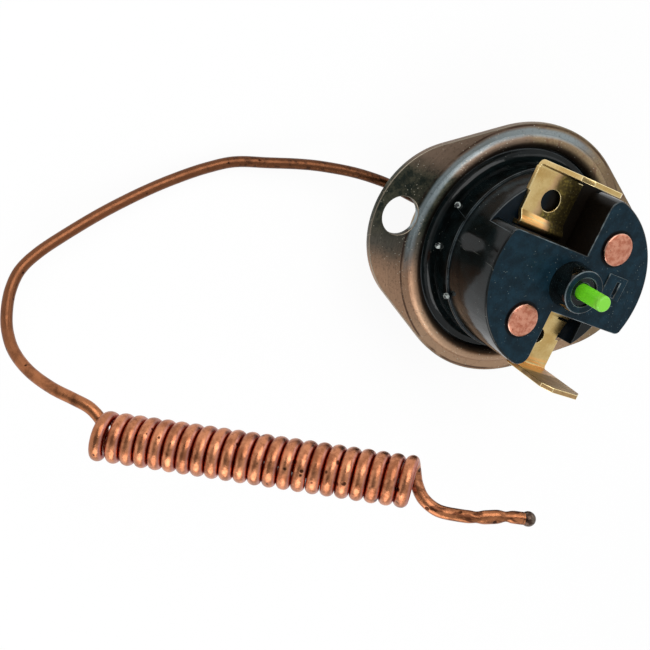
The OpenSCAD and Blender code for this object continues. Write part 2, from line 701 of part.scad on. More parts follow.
// Ring pressed into the boss, which guides the button's tip
module button_guide() {
    color("#17191b") difference() {
        drum(boss_bore_r, collar_z + collar_t + run_gap, face_z + boss_h - guide_sink);
        drum(tip_r + run_gap, 0, beyond);
    }
}

module reset_spring() {
    coil_r = (stem_r + run_gap + boss_bore_r) / 2;
    low = bore_floor_z + spring_wire / 2;
    high = collar_z - spring_wire / 2;
    turns = spring_turns + 2;
    steps = 14;
    pitch = (high - low - 2 * spring_wire) / spring_turns;
    path = [for (k = [0 : turns * steps]) let (t = k / steps,
        closed = min(t, 1) + max(0, t - turns + 1), open = t - closed)
        [coil_r * cos(360 * t), coil_r * sin(360 * t), low + closed * spring_wire + open * pitch]];
    color("#9aa0a4") tube(path, 0.96 * spring_wire / 2, 6, sides_along(path, [1, 0, 0]),
        [for (q = path) 0]);
}

module button_clip() {
    clip_z = well_z - 0.1 - clip_t;
    color("#8d9296") difference() {
        drum(clip_r, clip_z, clip_z + clip_t);
        drum(stem_r - 0.2, clip_z - 1, clip_z + 1);
        block(0, clip_r + 1, -stem_r + 0.25, stem_r - 0.25, clip_z - 1, clip_z + 1);
    }
}

// Tube of n sides swept along points; each ring has a side direction and its share of flattening
module tube(p, r, n, sides, flat) {
    count = len(p);
    rings = [for (i = [0 : count - 1]) let (d = heading_at(p, i), b = cross(d, sides[i]))
        for (k = [0 : n - 1]) p[i] + r * ((1 - flat[i] / 2) * cos(360 * k / n) * sides[i]
            + (1 + flat[i]) * sin(360 * k / n) * b)];
    walls = [for (i = [0 : count - 2]) for (k = [0 : n - 1]) let (m = (k + 1) % n)
        [i * n + k, (i + 1) * n + k, (i + 1) * n + m, i * n + m]];
    polyhedron(points = rings, faces = concat(walls, [[for (k = [0 : n - 1]) k],
        [for (k = [n - 1 : -1 : 0]) (count - 1) * n + k]]), convexity = 10);
}

// The tube is slightly oval in the coil, and pinched flat near its end
module capillary_tube() {
    tail = len(tail_path);
    sides = concat(reversed(sides_along(reversed(lead_path), coil_out(coil_first))),
        [for (a = coil_angles) coil_out(a)], sides_along(tail_path, coil_out(coil_last)));
    flat = concat([for (q = lead_path) 0],
        [for (a = coil_angles) oval * min(1, (a - coil_first) / 90, (coil_last - a) / 90)],
        [for (i = [0 : tail - 1]) crimp_flat * exp(-pow((i / tail - crimp_at) / crimp_wide, 2))]);
    color("#b06a45") tube(tube_path, tube_r, tube_sides, sides, flat);
}

// Ring of braze that seals the tube into the cup's wall
module braze_fillet() {
    foot_r = exit_depth + ledge_z - cup_t - eps;
    color("#c9a15e") rotate([0, 0, exit_angle]) translate([cup_deep_outer_r, 0, -exit_depth])
        rotate([0, 90, 0]) rotate_extrude() polygon([[tube_r + eps, 0], [foot_r, 0],
            [foot_r, 0.3], [tube_r + 0.1, 1.2], [tube_r + eps, 1.2]]);
}

module tip_seal() {
    end = tail_points[7];
    d = heading_at(tube_path, len(tube_path) - 1);
    color("#8c7a68") translate(end) rotate([0, acos(d[2]), atan2(d[1], d[0])]) difference() {
        translate([0, 0, 0.45]) sphere(r = bead_end_r);
        block(-2, 2, -2, 2, -4, 0);
    }
}

flange();
pressure_cup();
diaphragm();
diaphragm_pad();
guide_plate();
housing();
upper_terminal();
lower_terminal();
upper_rivet();
lower_rivet();
pivot_bush();
contact_arm();
moving_contact();
fixed_contact();
transfer_pin();
reset_button();
button_guide();
reset_spring();
button_clip();
capillary_tube();
braze_fillet();
tip_seal();
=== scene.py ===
"""Looks of a thermal cutout: a moulded switch body in an oval steel flange, with brass push-on
tabs, a green reset button and a copper capillary that ends in a wound sensing coil.

All sizes are in millimetres in this file and become metres where a mesh is made.
"""
import json
import math

import bmesh
import bpy
import numpy as np
from mathutils import Matrix, Vector


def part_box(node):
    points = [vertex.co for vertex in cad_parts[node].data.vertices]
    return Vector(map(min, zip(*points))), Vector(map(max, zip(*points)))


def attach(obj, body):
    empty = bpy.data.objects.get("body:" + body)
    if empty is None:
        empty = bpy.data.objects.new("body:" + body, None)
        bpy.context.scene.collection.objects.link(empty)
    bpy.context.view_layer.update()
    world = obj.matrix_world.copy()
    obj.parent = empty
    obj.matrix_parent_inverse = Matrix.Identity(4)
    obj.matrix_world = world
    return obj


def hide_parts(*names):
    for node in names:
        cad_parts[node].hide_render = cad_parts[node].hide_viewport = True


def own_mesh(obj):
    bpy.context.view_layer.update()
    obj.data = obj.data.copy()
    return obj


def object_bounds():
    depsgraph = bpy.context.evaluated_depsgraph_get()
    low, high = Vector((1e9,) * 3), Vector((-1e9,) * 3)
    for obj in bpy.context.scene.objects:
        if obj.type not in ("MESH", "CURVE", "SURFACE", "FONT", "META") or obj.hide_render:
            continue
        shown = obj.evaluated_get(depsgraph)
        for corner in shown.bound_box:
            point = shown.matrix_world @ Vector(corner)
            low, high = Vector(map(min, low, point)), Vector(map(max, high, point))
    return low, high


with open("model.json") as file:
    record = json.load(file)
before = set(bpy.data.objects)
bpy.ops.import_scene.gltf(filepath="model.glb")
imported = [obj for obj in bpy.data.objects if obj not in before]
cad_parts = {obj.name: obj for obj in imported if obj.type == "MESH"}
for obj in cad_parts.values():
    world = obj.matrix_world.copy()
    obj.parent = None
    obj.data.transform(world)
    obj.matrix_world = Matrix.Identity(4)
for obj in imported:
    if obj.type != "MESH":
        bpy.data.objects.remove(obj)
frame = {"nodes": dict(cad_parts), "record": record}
cad_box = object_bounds()
MM = 0.001
nodes = frame["nodes"]

# Camera, as fitted to the photograph
CAMERA_AT = (-85.47, 15.45, 108.47)
CAMERA_LOOK = (0.49215, -0.24005, -0.83676)
CAMERA_UP = (-0.20477, 0.90233, -0.37929)
CAMERA_LENS = 58.77
SENSOR = 36.0

# Floor, how far it lies under the part, the low wall that it rises to in some rings of points,
# and its share of plain white to the camera
FLOOR_R = 2200.0
FLOOR_GAP = 0.2
WALL_R = 900.0
WALL_H = 1000.0
WALL_RINGS = 13
FLOOR_SIDES = 96
FLOOR_WHITE = 0.92

# New pieces: a pole's points are this close at most
POLE_POINT = 0.0001

# Copies of the hard pieces: points this close are one, faces within this many degrees lie flat
# together, shorter edges are drawn together, and edges sharper than this many degrees are rounded
SAME_POINT = 0.002
FLAT_ANGLE = 0.5
SHORT_EDGE = 0.04
EDGE_ANGLE = 40

# Surroundings: the direction in which they are brightest, their tint, and their strength, which
# goes from To Min to To Max as the cosine to that direction goes from From Min to From Max
WORLD_BRIGHT = (0.49, -0.24, 0.84)
WORLD_TINT = (0.97, 0.99, 1.0, 1)
WORLD_RISE = {"From Min": 0.35, "From Max": 0.95, "To Min": 0.24, "To Max": 0.85}

# Lamps: name, place, the point that each is aimed at, width, and power in watts
LAMPS = (("key", (-110, 200, 230), (-20, -8, 5), 260, 0.63),
         ("low", (-60, -230, 130), (-20, -8, 5), 180, 0.31),
         ("rim", (140, 210, 125), (0, 0, 8), 200, 0.12))

# Places on the body that finishes refer to: the outer face, the terminals' plates, the pockets'
# radius, floor and rim, the slot of the small pad with half its size, the largest face of a pip
# in square millimetres, and the turn of the terminals round the body's axis
FACE_Z = 12.8
PLATE_TOP = 8.9
POCKET_R = 11.0
POCKET_LOW = 2.0
POCKET_RIM = FACE_Z - 0.3
SLOT_AT = (6.855, 1.3)
SLOT_HALF = (0.23, 1.0)
PIP_FACE = 0.02
BODY_TURN = math.radians(-3)

# Tube: the same route as the solid's. It leaves the cup through points at these distances from
# its side
TUBE_R = 0.65
EXIT_ANGLE = math.radians(172)
EXIT_DEPTH = 3.3
EXIT_REACH = (0.01, 1, 2.4)
CUP_R = 12.4
LEAD = [(-17, 2.4, -3.3), (-19.4, 2.7, -3.5), (-23.1, 2.6, -4.2), (-27.1, 2, -5),
        (-30, 1.3, -5.6), (-33.4, 0.3, -6.1), (-37.2, -0.8, -6.5), (-40, -2.3, -6.6),
        (-43.1, -4.4, -6.5), (-46.6, -7.1, -6.2), (-50.6, -10.7, -5.8), (-54.3, -14.4, -5.1),
        (-56.5, -16.8, -4.5), (-57.9, -18.8, -3.7), (-58.5, -20.8, -2.6), (-58.6, -22.7, -1.1),
        (-58.3, -24.4, 0.5), (-57.5, -25.8, 2.6), (-56, -26.7, 5), (-54, -27, 7.6),
        (-52, -27, 9.5), (-50.5, -27.1, 10.8)]
TAIL = [(-23.5, -19.4, 29.7), (-22.9, -20.7, 30.2), (-22, -21.8, 31), (-20.6, -22.3, 32),
        (-18.7, -22.1, 32.8), (-16.8, -21.6, 33.6), (-14.4, -20.7, 34.4), (-12.6, -20.3, 35)]
COIL_START = np.array((-49.0, -28.5, 14.0))
COIL_HEADING = math.radians(18.6)
COIL_CLIMB = math.radians(33.2)
COIL_FRONT = math.radians(67.3)
COIL_FIRST = math.radians(135)
COIL_TURNS = 22
COIL_LAST = 2 * math.pi * COIL_TURNS + math.radians(100)
COIL_PITCH = 1.46
COIL_R = 2.0
COIL_LOOSE = 0.45
COIL_OVAL = 0.1

# Rings of the tube: points round each, rings for each point of the lead and the tail, the angle
# between two on the coil, the angle to the point that gives the lead and the tail their slope,
# and how many rings it takes for the attribute lean to come up
TUBE_SIDES = 24
LEAD_STEPS = 10
TAIL_STEPS = 12
RING_STEP = math.radians(8)
SLOPE_STEP = math.radians(30)
RINGS_TO_LEAN = 20

# Tail, by its share of length: where the crimp begins and ends, how much wider it is, and each
# neck's place and depth as a share of the radius
CRIMP_START = (0.71, 0.77)
CRIMP_END = (0.82, 0.87)
CRIMP_FLAT = 0.15
NECKS = ((0.73, 0.14), (0.87, 0.22))
NECK_WIDTH = 0.025

# Solder bead: radius of its ball, place of the ball's centre past the tube's end, degrees of the
# ball that show and their rings, points round each, and two rings that run onto the tube, by
# place and by radius over the tube's
TIP_R = 0.78
TIP_CENTRE = 0.45
TIP_BALL = 130
TIP_RINGS = 14
TIP_SIDES = 32
TIP_COLLAR = ((-0.35, -0.06), (-0.2, 0.01))

# Button's spring: wire, open turns, turns that lie closed, rings in a turn and points in a ring
SPRING_WIRE = 0.27
SPRING_TURNS = 5
SPRING_CLOSED = 2
SPRING_RINGS = 32
SPRING_SIDES = 10


def placed(name, data):
    """A new object with this data, linked to the scene."""
    made = bpy.data.objects.new(name, data)
    bpy.context.scene.collection.objects.link(made)
    return made


# Camera
def make_camera():
    """Camera at the photograph's place: it looks along CAMERA_LOOK with CAMERA_UP upwards."""
    back = -Vector(CAMERA_LOOK).normalized()
    up = Vector(CAMERA_UP).normalized()
    right = up.cross(back).normalized()
    up = back.cross(right)
    turn = Matrix((right, up, back)).transposed().to_4x4()
    data = bpy.data.cameras.new("camera")
    data.lens = CAMERA_LENS
    data.sensor_width = SENSOR
    data.clip_start = 0.005
    data.clip_end = 20
    camera = placed("camera", data)
    camera.matrix_world = Matrix.Translation(Vector(CAMERA_AT) * MM) @ turn
    bpy.context.scene.camera = camera


# Shader maths as Python expressions
class Value:
    """A number socket: each operator adds its Math node and gives the result's socket."""

    def __init__(self, finish, socket):
        self.finish = finish
        self.socket = socket

    def math(self, operation, *others):
        """This value and the others through one Math node."""
        return self.finish.node("ShaderNodeMath", {"operation": operation}, self, *others)

    def __add__(self, other):
        return self.math("ADD", other)

    def __sub__(self, other):
        return self.math("SUBTRACT", other)

    def __mul__(self, other):
        return self.math("MULTIPLY", other)

    def __rsub__(self, other):
        return self.finish.node("ShaderNodeMath", {"operation": "SUBTRACT"}, other, self)

    __radd__ = __add__
    __rmul__ = __mul__

    def power(self, other):
        """This value raised to a power."""
        return self.math("POWER", other)

    def clipped(self):
        """This value kept from 0 to 1."""
        return self.finish.node("ShaderNodeClamp", {}, self)


class Finish:
    """One material: its nodes are made by node(), its shader's inputs are set by set()."""

    def __init__(self, name, **plain):
        self.material = bpy.data.materials.new(name)
        self.material.use_nodes = True
        self.tree = self.material.node_tree
        self.shader = self.tree.nodes["Principled BSDF"]
        self.place = self.node("ShaderNodeTexCoord", {}, out="Object")
        for socket, value in plain.items():
            self.set(socket.replace("_", " "), value)

    def node(self, kind, settings, *values, out=0, **named):
        """A node of a kind: its settings come first, then its sockets, in order or by name. It
        gives the output of that number or name."""
        made = self.tree.nodes.new(kind)
        for key, value in settings.items():
            setattr(made, key, value)
        inputs = [s for s in made.inputs if s.enabled]
        for i, value in enumerate(values):
            self.feed(inputs[i], value)
        for key, value in named.items():
            self.feed(next(s for s in inputs if s.name == key.replace("_", " ")), value)
        shown = [s for s in made.outputs if s.enabled]
        return Value(self, made.outputs[out] if isinstance(out, str) else shown[out])

    def feed(self, socket, value):
        """Links a socket to a Value, or sets it to a number, a vector or a colour."""
        if isinstance(value, Value):
            self.tree.links.new(value.socket, socket)
        elif isinstance(value, (tuple, list)) and socket.type == "RGBA":
            socket.default_value = (*value, 1)
        else:
            socket.default_value = value

    def set(self, name, value):
        """Feeds an input of the shader."""
        self.feed(self.shader.inputs[name], value)

    def at(self, turn=0.0, stretch=(1, 1, 1)):
        """The piece's own coordinates in millimetres, turned round Z and stretched."""
        return self.node("ShaderNodeMapping", {"vector_type": "TEXTURE"}, self.place,
                         Rotation=(0, 0, turn), Scale=[MM * s for s in stretch])

    def noise(self, scale, detail=3.0, where=None, rough=0.5, warp=0.0):
        """Fractal noise from 0 to 1; scale is in cycles for each millimetre."""
        return self.node("ShaderNodeTexNoise", {}, where or self.at(), Scale=scale, Detail=detail,
                         Roughness=rough, Distortion=warp)

    def spots(self, scale, size):
        """Small round spots: 1 within 0.6 of the size from a cell's centre, 0 beyond the size."""
        far = self.node("ShaderNodeTexVoronoi", {}, self.at(), Scale=scale)
        return self.step(far, size, size * 0.6)

    def step(self, value, low, high):
        """Smooth step from 0 at low to 1 at high; low may be the larger."""
        return self.node("ShaderNodeMapRange", {"interpolation_type": "SMOOTHSTEP"}, value,
                         From_Min=low, From_Max=high)

    def mix(self, factor, first, second):
        """Colour mix from first to second."""
        return self.node("ShaderNodeMix", {"data_type": "RGBA"}, factor, first, second)

    def bump(self, height, strength, reach=0.05):
        """Normal from a height; reach is the height's size in millimetres."""
        return self.node("ShaderNodeBump", {}, Strength=strength, Distance=reach * MM,
                         Height=height)

    def axis(self, index, where=None):
        """One coordinate in millimetres."""
        return self.node("ShaderNodeSeparateXYZ", {}, where or self.at(), out=index)


def colour(code):
    """Linear colour from a screen colour such as 7a6656."""
    parts = [int(code[i:i + 2], 16) / 255 for i in (0, 2, 4)]
    return tuple(c / 12.92 if c <= 0.04045 else ((c + 0.055) / 1.055) ** 2.4 for c in parts)


# Finishes
def flange_steel():
    """Passivated steel: dark olive round the left hole, partly the steel's tint and partly a
    painted dark reflection, pinkish brown above it, grey and then tan below it, tan on the right,
    a blue-grey painted highlight on the bead's upper left and painted shade on its slope towards
    the body, with reddish streaks, pale specks and a dark line outside the bead that is the
    painted shade of a fine groove."""
    f = Finish("flange_steel", Metallic=1.0)
    wander = f.noise(0.13, 4, warp=1.0) - 0.5
    grain = f.noise(3.2, 5, rough=0.7) - 0.5
    x = f.axis(0) + wander * 5
    y = f.axis(1) + wander * 4 + grain * 2
    radius = (f.axis(0) * f.axis(0) + f.axis(1) * f.axis(1)).power(0.5)
    cloud = f.noise(0.25, 4) + grain * 0.5
    tan = f.mix(f.step(cloud, 0.32, 0.68), colour("7f6a53"), colour("9c8768"))
    streaks = f.step(f.noise(0.5, 4, f.at(stretch=(1, 1, 0.3)), warp=1.5), 0.48, 0.7) * 0.65
    warm = f.mix(streaks, tan, colour("725142"))
    warm = f.mix(f.step(y, -7, -11), warm, colour("ab8c72"))
    left = f.step(x, -9, -12.5)
    low = f.mix(left, warm, f.mix(f.step(y, -8, -3), colour("a4836a"), colour("58544c")))
    # Dark olive round the left hole: partly the steel's tint, partly a painted dark reflection.
    dark = f.mix(f.step(f.noise(0.9, 4) + grain, 0.3, 0.7), colour("272d28"), colour("4f4e41"))
    lit = f.mix(left * f.step(y, -3.5, -0.5), low, dark)
    pink = f.mix(f.step(y, 5.5, 8) * f.step(x, -2, -8), lit, colour("7d6a5b"))
    bead = radius + wander * 0.5
    crest = f.step(bead, 16.2, 15.7) * f.step(bead, 14.8, 15.3)
    # Painted highlight: a blue-grey band on the bead's crest at its upper left.
    painted_gleam = crest * f.step(y * 0.7 - x * 0.7, 4.5, 10.5)
    blue = f.mix(painted_gleam * 0.85, pink, colour("9aa6aa"))
    # Painted shade: the bead's slope towards the body is darkened.
    slope_shade = f.mix(f.step(radius, 14.6, 14.0) * 0.75, blue, colour("2a211b"))
    # Painted shade of a fine groove: a dark line just outside the bead.
    line = f.step((radius - 16.3 + wander * 0.25).math("ABSOLUTE"), 0.2, 0.04)
    groove_shade = f.mix(line * f.step(f.noise(0.25, 2), 0.3, 0.55) * 0.8, slope_shade, colour("3c2a24"))
    gritty = f.mix(f.step(grain, 0.02, 0.2) * 0.4, groove_shade, colour("2b2721"))
    speck = f.spots(2.2, 0.17) * f.step(f.noise(0.4, 3), 0.42, 0.55)
    f.set("Base Color", f.mix(speck * 0.7, gritty, colour("cfc9b6")))
    f.set("Roughness", f.noise(0.7, 4) * 0.25 + 0.33)
    rings = f.node("ShaderNodeTexNoise", {"noise_dimensions": "1D"}, W=radius, Scale=4.0,
                   Detail=3.0)
    rough = f.noise(1.6, 6, rough=0.65) + rings * 0.35 + f.spots(1.1, 0.2) * 0.5
    f.set("Normal", f.bump(rough, 0.5, 0.07))
    return f.material


def black_moulding():
    """Glossy black moulding, a little wavy, with some dust and a few fine scratches."""
    f = Finish("black_moulding", Specular_IOR_Level=0.24)
    teal = f.mix(f.step(f.noise(0.5, 3), 0.4, 0.6), colour("070a0a"), colour("0d1415"))
    dust = f.spots(1.9, 0.1) * f.step(f.noise(0.6, 2), 0.5, 0.58)
    scratch = f.step(f.noise(0.6, 1, f.at(turn=0.6, stretch=(0.1, 2.5, 2.5))), 0.73, 0.77)
    marked = f.mix(scratch * 0.35, teal, colour("6e7268"))
    f.set("Base Color", f.mix(dust * 0.8, marked, colour("7c7e74")))
    f.set("Roughness", f.noise(0.9, 3) * 0.12 + 0.05)
    ripple = f.noise(0.45, 2, f.at(stretch=(1, 1, 2.5)))
    f.set("Normal", f.bump(ripple + f.noise(3, 3) * 0.03 + f.spots(0.9, 0.07) * 0.15, 0.5, 0.14))
    return f.material


def moulded_pocket():
    """Dull inside of the pockets: dark teal, and brown-black painted shade in the recess to the
    right of the upper tab.
    """
    f = Finish("moulded_pocket", Specular_IOR_Level=0.12)
    x, y = f.axis(0), f.axis(1)
    # Painted shade: brown-black in the recess to the right of the upper tab.
    brown = f.step(x, -5, -4) * f.step(y, 1, 2)
    teal = f.mix(f.noise(1.2, 4), colour("060f16"), colour("0e1c26"))
    f.set("Base Color", f.mix(brown, teal, colour("0f0a05")))
    f.set("Roughness", f.noise(1.5, 3) * 0.2 + 0.35)
    f.set("Normal", f.bump(f.noise(1.5, 4), 0.3, 0.06))
    return f.material


def moulded_face():
    """The satin blue-black outer face, with pale dust, small nicks and a few fine scratches; the
    slot of the pad is painted dark as the shade inside it, and a thin ring round each rivet is
    painted shadow."""
    f = Finish("moulded_face", Specular_IOR_Level=0.1)
    grain = f.noise(3.5, 4, rough=0.7) - 0.5
    cloud = f.step(f.noise(0.8, 5) + grain * 0.6, 0.3, 0.75)
    dust = f.spots(2.6, 0.15) * f.step(f.noise(0.7, 3), 0.48, 0.56)
    base = f.mix(cloud, colour("0b1d26"), colour("132b37"))
    dusty = f.mix(dust * 0.85, base, colour("6c7876"))
    # Painted shade: the slot of the small pad is darkened on the pad's top.
    dark = f.step(f.axis(2), FACE_Z + 0.15, FACE_Z + 0.05)
    for i in (0, 1):
        off = (f.axis(i) - SLOT_AT[i]).math("ABSOLUTE") - SLOT_HALF[i]
        dark = dark * f.step(off, 0.03, -0.03)
    # Painted shadow: a thin dark ring on the face round each rivet head.
    for rivet in ("upper_rivet", "lower_rivet"):
        low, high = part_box(rivet)
        centre = (low + high) / 2 / MM
        x, y = f.axis(0) - centre.x, f.axis(1) - centre.y
        rivet_shadow_gap = (x * x + y * y).power(0.5) - (high.x - low.x) / 2 / MM
        dark = (dark + f.step(rivet_shadow_gap, 0.38, 0.2)).clipped()
    f.set("Base Color", f.mix(dark * 0.9, dusty, colour("020405")))
    f.set("Roughness", f.noise(1.5, 4) * 0.3 + 0.18)
    scratch = f.step(f.noise(0.8, 2, f.at(turn=0.5, stretch=(0.15, 2.5, 1))), 0.66, 0.72)
    f.set("Normal", f.bump(f.noise(1.1, 4) + f.spots(1.3, 0.1) * 0.5 - scratch * 0.3, 0.5, 0.09))
    return f.material


def worn_edge():
    """Edges of the black moulding, patchy grey: partly worn by rubbing and partly a painted
    highlight, and fainter below the outer face as painted shade.
    """
    f = Finish("worn_edge")
    # Edge wear and painted edge highlight, weaker below the outer face as painted shade.
    rub_and_highlight = f.step(f.noise(0.6, 5), 0.38, 0.64) * (f.step(f.axis(2), 8, 11) * 0.75 + 0.25)
    f.set("Base Color", f.mix(rub_and_highlight, colour("10181b"), colour("58666b")))
    f.set("Roughness", f.noise(2, 3) * 0.2 + 0.2)
    return f.material


def bare_pip():
    """Painted glints on the small pips of the neck: pale grey spots on black."""
    f = Finish("bare_pip")
    # Painted glints: pale spots on the pips.
    glint_spots = f.step(f.noise(2.2, 4), 0.46, 0.56)
    f.set("Base Color", f.mix(glint_spots, colour("161c1d"), colour("b4bcb8")))
    f.set("Roughness", f.noise(3, 3) * 0.2 + 0.12)
    f.set("Normal", f.bump(f.noise(3, 4), 0.6, 0.08))
    return f.material


def brass_sheet():
    """Rolled brass: fine lines along its folds, bright orange where it bends as a painted
    highlight, a light bloom, and on the upper plate a dark olive tarnish with golden specks,
    pinkish at its border, which is partly a painted dark reflection of the pocket's wall and
    darker still near that wall as painted shade. The lower tab above the plates is painted
    brown as shade, and it is also duller and less metallic."""
    f = Finish("brass_sheet", Metallic=1.0)
    here = f.at(turn=BODY_TURN)
    x, y, z = f.axis(0, here), f.axis(1, here), f.axis(2, here)
    lines = f.noise(1.0, 3, f.at(turn=BODY_TURN, stretch=(5, 0.35, 0.35)))
    fine = f.noise(3, 4, rough=0.7) - 0.5
    cloud = f.step(f.noise(0.35, 3) + fine * 0.3, 0.35, 0.7)
    bright = f.mix(cloud, colour("dbbf84"), colour("c2a062"))
    # Forming lines at the bends, painted bright orange as a highlight.
    rise = f.step(z, PLATE_TOP + 0.02, PLATE_TOP + 0.15) * f.step(z, 10.4, 10.2) * f.step(y, 1, 2)
    bend = rise * f.step(y, 6, 5.5) + f.step(y, -10.9, -11.5) * f.step(z, 9.4, 9.0)
    lined = f.mix((bend * f.step(lines, 0.46, 0.53)).clipped() * 0.8, bright, colour("f4b46c"))
    upper = f.step(y, 2, 3) * f.step(z, 11, 10)
    edge = x - y * 0.12 + (f.noise(0.6, 3) - 0.5) * 1.2 - rise * 1.8
    rosy = f.mix(f.step(edge, -7.6, -6.8) * upper * 0.5, lined, colour("b98a70"))
    # Dark olive tarnish on the upper plate's right part, partly a painted dark reflection of the
    # wall.
    tarnish_and_reflection = f.step(edge, -7.1, -5.9) * upper
    olive = f.mix(f.step(f.noise(2.6, 5), 0.45, 0.7), colour("453e1c"), colour("877838"))
    olive_tarnish_and_reflection = f.mix(tarnish_and_reflection * 0.92, rosy, olive)
    glints = f.spots(3.2, 0.2) * tarnish_and_reflection * f.step(f.noise(1.1, 2), 0.45, 0.55)
    # Painted shade: the upper plate is darker still near the pocket's wall.
    wall_shade = f.step(x, -4.6, -2.6) * upper * 0.75
    tarnish_and_wall_shade = f.mix(wall_shade, f.mix(glints * 0.8, olive_tarnish_and_reflection, colour("e0d498")), colour("1c170c"))
    # Painted shade: the lower tab above the plates is brown; it is also duller and less metallic.
    side = f.step(z, 9.2, 9.8) * f.step(y, 0, -2)
    brown = f.mix(f.step(f.noise(0.5, 4), 0.4, 0.6), colour("95714a"), colour("6b4c30"))
    f.set("Base Color", f.mix(side * 0.75, tarnish_and_wall_shade, brown))
    f.set("Metallic", 1 - side * 0.6)
    f.set("Roughness", f.noise(1.2, 3) * 0.15 + 0.22 + tarnish_and_reflection * 0.12 + side * 0.2)
    f.set("Normal", f.bump(lines * 0.8 + f.noise(0.8, 2) * 0.6, 0.14, 0.05))
    return f.material


def copper_rivet():
    """Copper-plated rivet: salmon with darker mottling, small dents and dull specks."""
    f = Finish("copper_rivet", Metallic=1.0)
    mottle = f.step(f.noise(1.5, 5, rough=0.6), 0.38, 0.62)
    base = f.mix(mottle, colour("da987e"), colour("bc735a"))
    f.set("Base Color", f.mix(f.spots(1.4, 0.16) * 0.6, base, colour("8a4636")))
    f.set("Roughness", f.noise(2, 3) * 0.2 + 0.25)
    f.set("Normal", f.bump(f.noise(1.3, 4) + f.spots(1.8, 0.2) * 0.3, 0.6, 0.08))
    return f.material


def copper_tube():
    """Drawn copper: sooty brown near the cup, a lighter red stretch of the lead before the coil
    that is partly a painted highlight, bright and dented on the coil with more dark pits towards
    its far end, and streaked brown to the tip. The attribute along runs from 0 to 1 over the
    tube's length. On the coil the attribute lean runs from -1 to 1 across the tube: where the
    turns meet it is painted dark red as shade between them, and its right flank has a pale violet
    painted reflection."""
    f = Finish("copper_tube", Metallic=1.0)
    along = f.node("ShaderNodeAttribute", {"attribute_name": "along"}, out="Fac")
    lean = f.node("ShaderNodeAttribute", {"attribute_name": "lean"}, out="Fac")
    coil = f.step(along, 0.2, 0.26) * f.step(along, 0.985, 0.96)
    tail = f.step(along, 0.955, 0.975)
    blotch = f.noise(0.6, 5, rough=0.65)
    fine = f.noise(2.5, 4, rough=0.7) - 0.5
    brown = f.step(along, 0.0, 0.13) * 0.5 + blotch * 0.5
    # Partly painted highlight: lighter, redder blotches on the lead just before the coil.
    redder_and_lit = f.step(along, 0.155, 0.19) * f.step(blotch, 0.3, 0.6) * 0.8
    lead = f.mix(redder_and_lit, f.mix(brown, colour("402717"), colour("835338")), colour("b87750"))
    wound = f.mix(f.step(blotch + fine * 0.5, 0.35, 0.65), colour("d08a64"), colour("9a5f41"))
    base = f.mix(coil, lead, wound)
    # Painted reflection: a pale violet band on the right flank of each turn.
    flank = f.step(lean, 0.45, 0.75) * f.step(lean, 0.93, 0.85) * 0.6
    flank_reflection = f.mix(flank, base, colour("b47b77"))
    # Painted shade: dark red where the turns of the coil meet.
    gap_shade = f.mix(f.step(lean.math("ABSOLUTE"), 0.88, 0.98), flank_reflection, colour("9a3a28"))
    streak = f.step(f.noise(0.9, 4, f.at(stretch=(4, 0.45, 0.6))), 0.5, 0.62) * tail
    streaked = f.mix(streak * 0.8, gap_shade, colour("3a1c12"))
    soot = f.step(f.noise(1.6, 4), 0.52, 0.66) * f.step(along, 0.13, 0.02) * 0.85
    sooted = f.mix(soot, streaked, colour("2a1d18"))
    far = f.step(along, 0.5, 0.9) * 0.08
    pits = f.step(f.node("ShaderNodeTexVoronoi", {}, f.at(), Scale=0.75) - far, 0.15, 0.06)
    spots = pits * f.step(f.noise(0.5, 2), 0.42, 0.5)
    f.set("Base Color", f.mix(spots * 0.9, sooted, colour("2a120a")))
    f.set("Roughness", f.step(f.noise(0.9, 5, rough=0.65), 0.3, 0.7) * 0.18 + 0.24)
    dents = f.noise(0.8, 4) + f.noise(3, 3) * 0.2 - spots * 0.4
    f.set("Normal", f.bump(dents, 0.6, 0.11))
    return f.material


def solder_bead():
    """Dull brown-grey solder with a brighter patch."""
    f = Finish("solder", Metallic=1.0)
    patch = f.step(f.noise(1.1, 3), 0.45, 0.65)
    f.set("Base Color", f.mix(patch, colour("46362e"), colour("75675b")))
    f.set("Roughness", f.noise(1.6, 3) * 0.2 + 0.15)
    f.set("Normal", f.bump(f.noise(1.5, 3), 0.5, 0.08))
    return f.material


def plain_metal(name, code, rough):
    """Plain metal with a faint cloudy roughness."""
    f = Finish(name, Metallic=1.0)
    base = colour(code)
    f.set("Base Color", f.mix(f.noise(0.5, 3), base, tuple(0.75 * c for c in base)))
    f.set("Roughness", f.noise(0.8, 3) * 0.15 + rough)
    f.set("Normal", f.bump(f.noise(4, 3), 0.1, 0.03))
    return f.material


def green_plastic():
    """Bright green moulding, paler at its end as a painted highlight."""
    f = Finish("green_plastic")
    # Painted highlight: the button's end is paler.
    end = f.step(f.axis(2), 18.2, 19.4)
    body = f.mix(f.noise(1.2, 3), colour("67d213"), colour("72da22"))
    f.set("Base Color", f.mix(end, body, colour("7acf34")))
    f.set("Roughness", f.noise(2, 3) * 0.1 + 0.35)
    f.set("Normal", f.bump(f.noise(5, 3), 0.1, 0.03))
    return f.material


def dull_plain(name, code, rough):
    """Plain dull material with a faint cloud."""
    f = Finish(name)
    base = colour(code)
    f.set("Base Color", f.mix(f.noise(1.5, 3), base, tuple(0.7 * c for c in base)))
    f.set("Roughness", f.noise(2, 3) * 0.1 + rough)
    return f.material


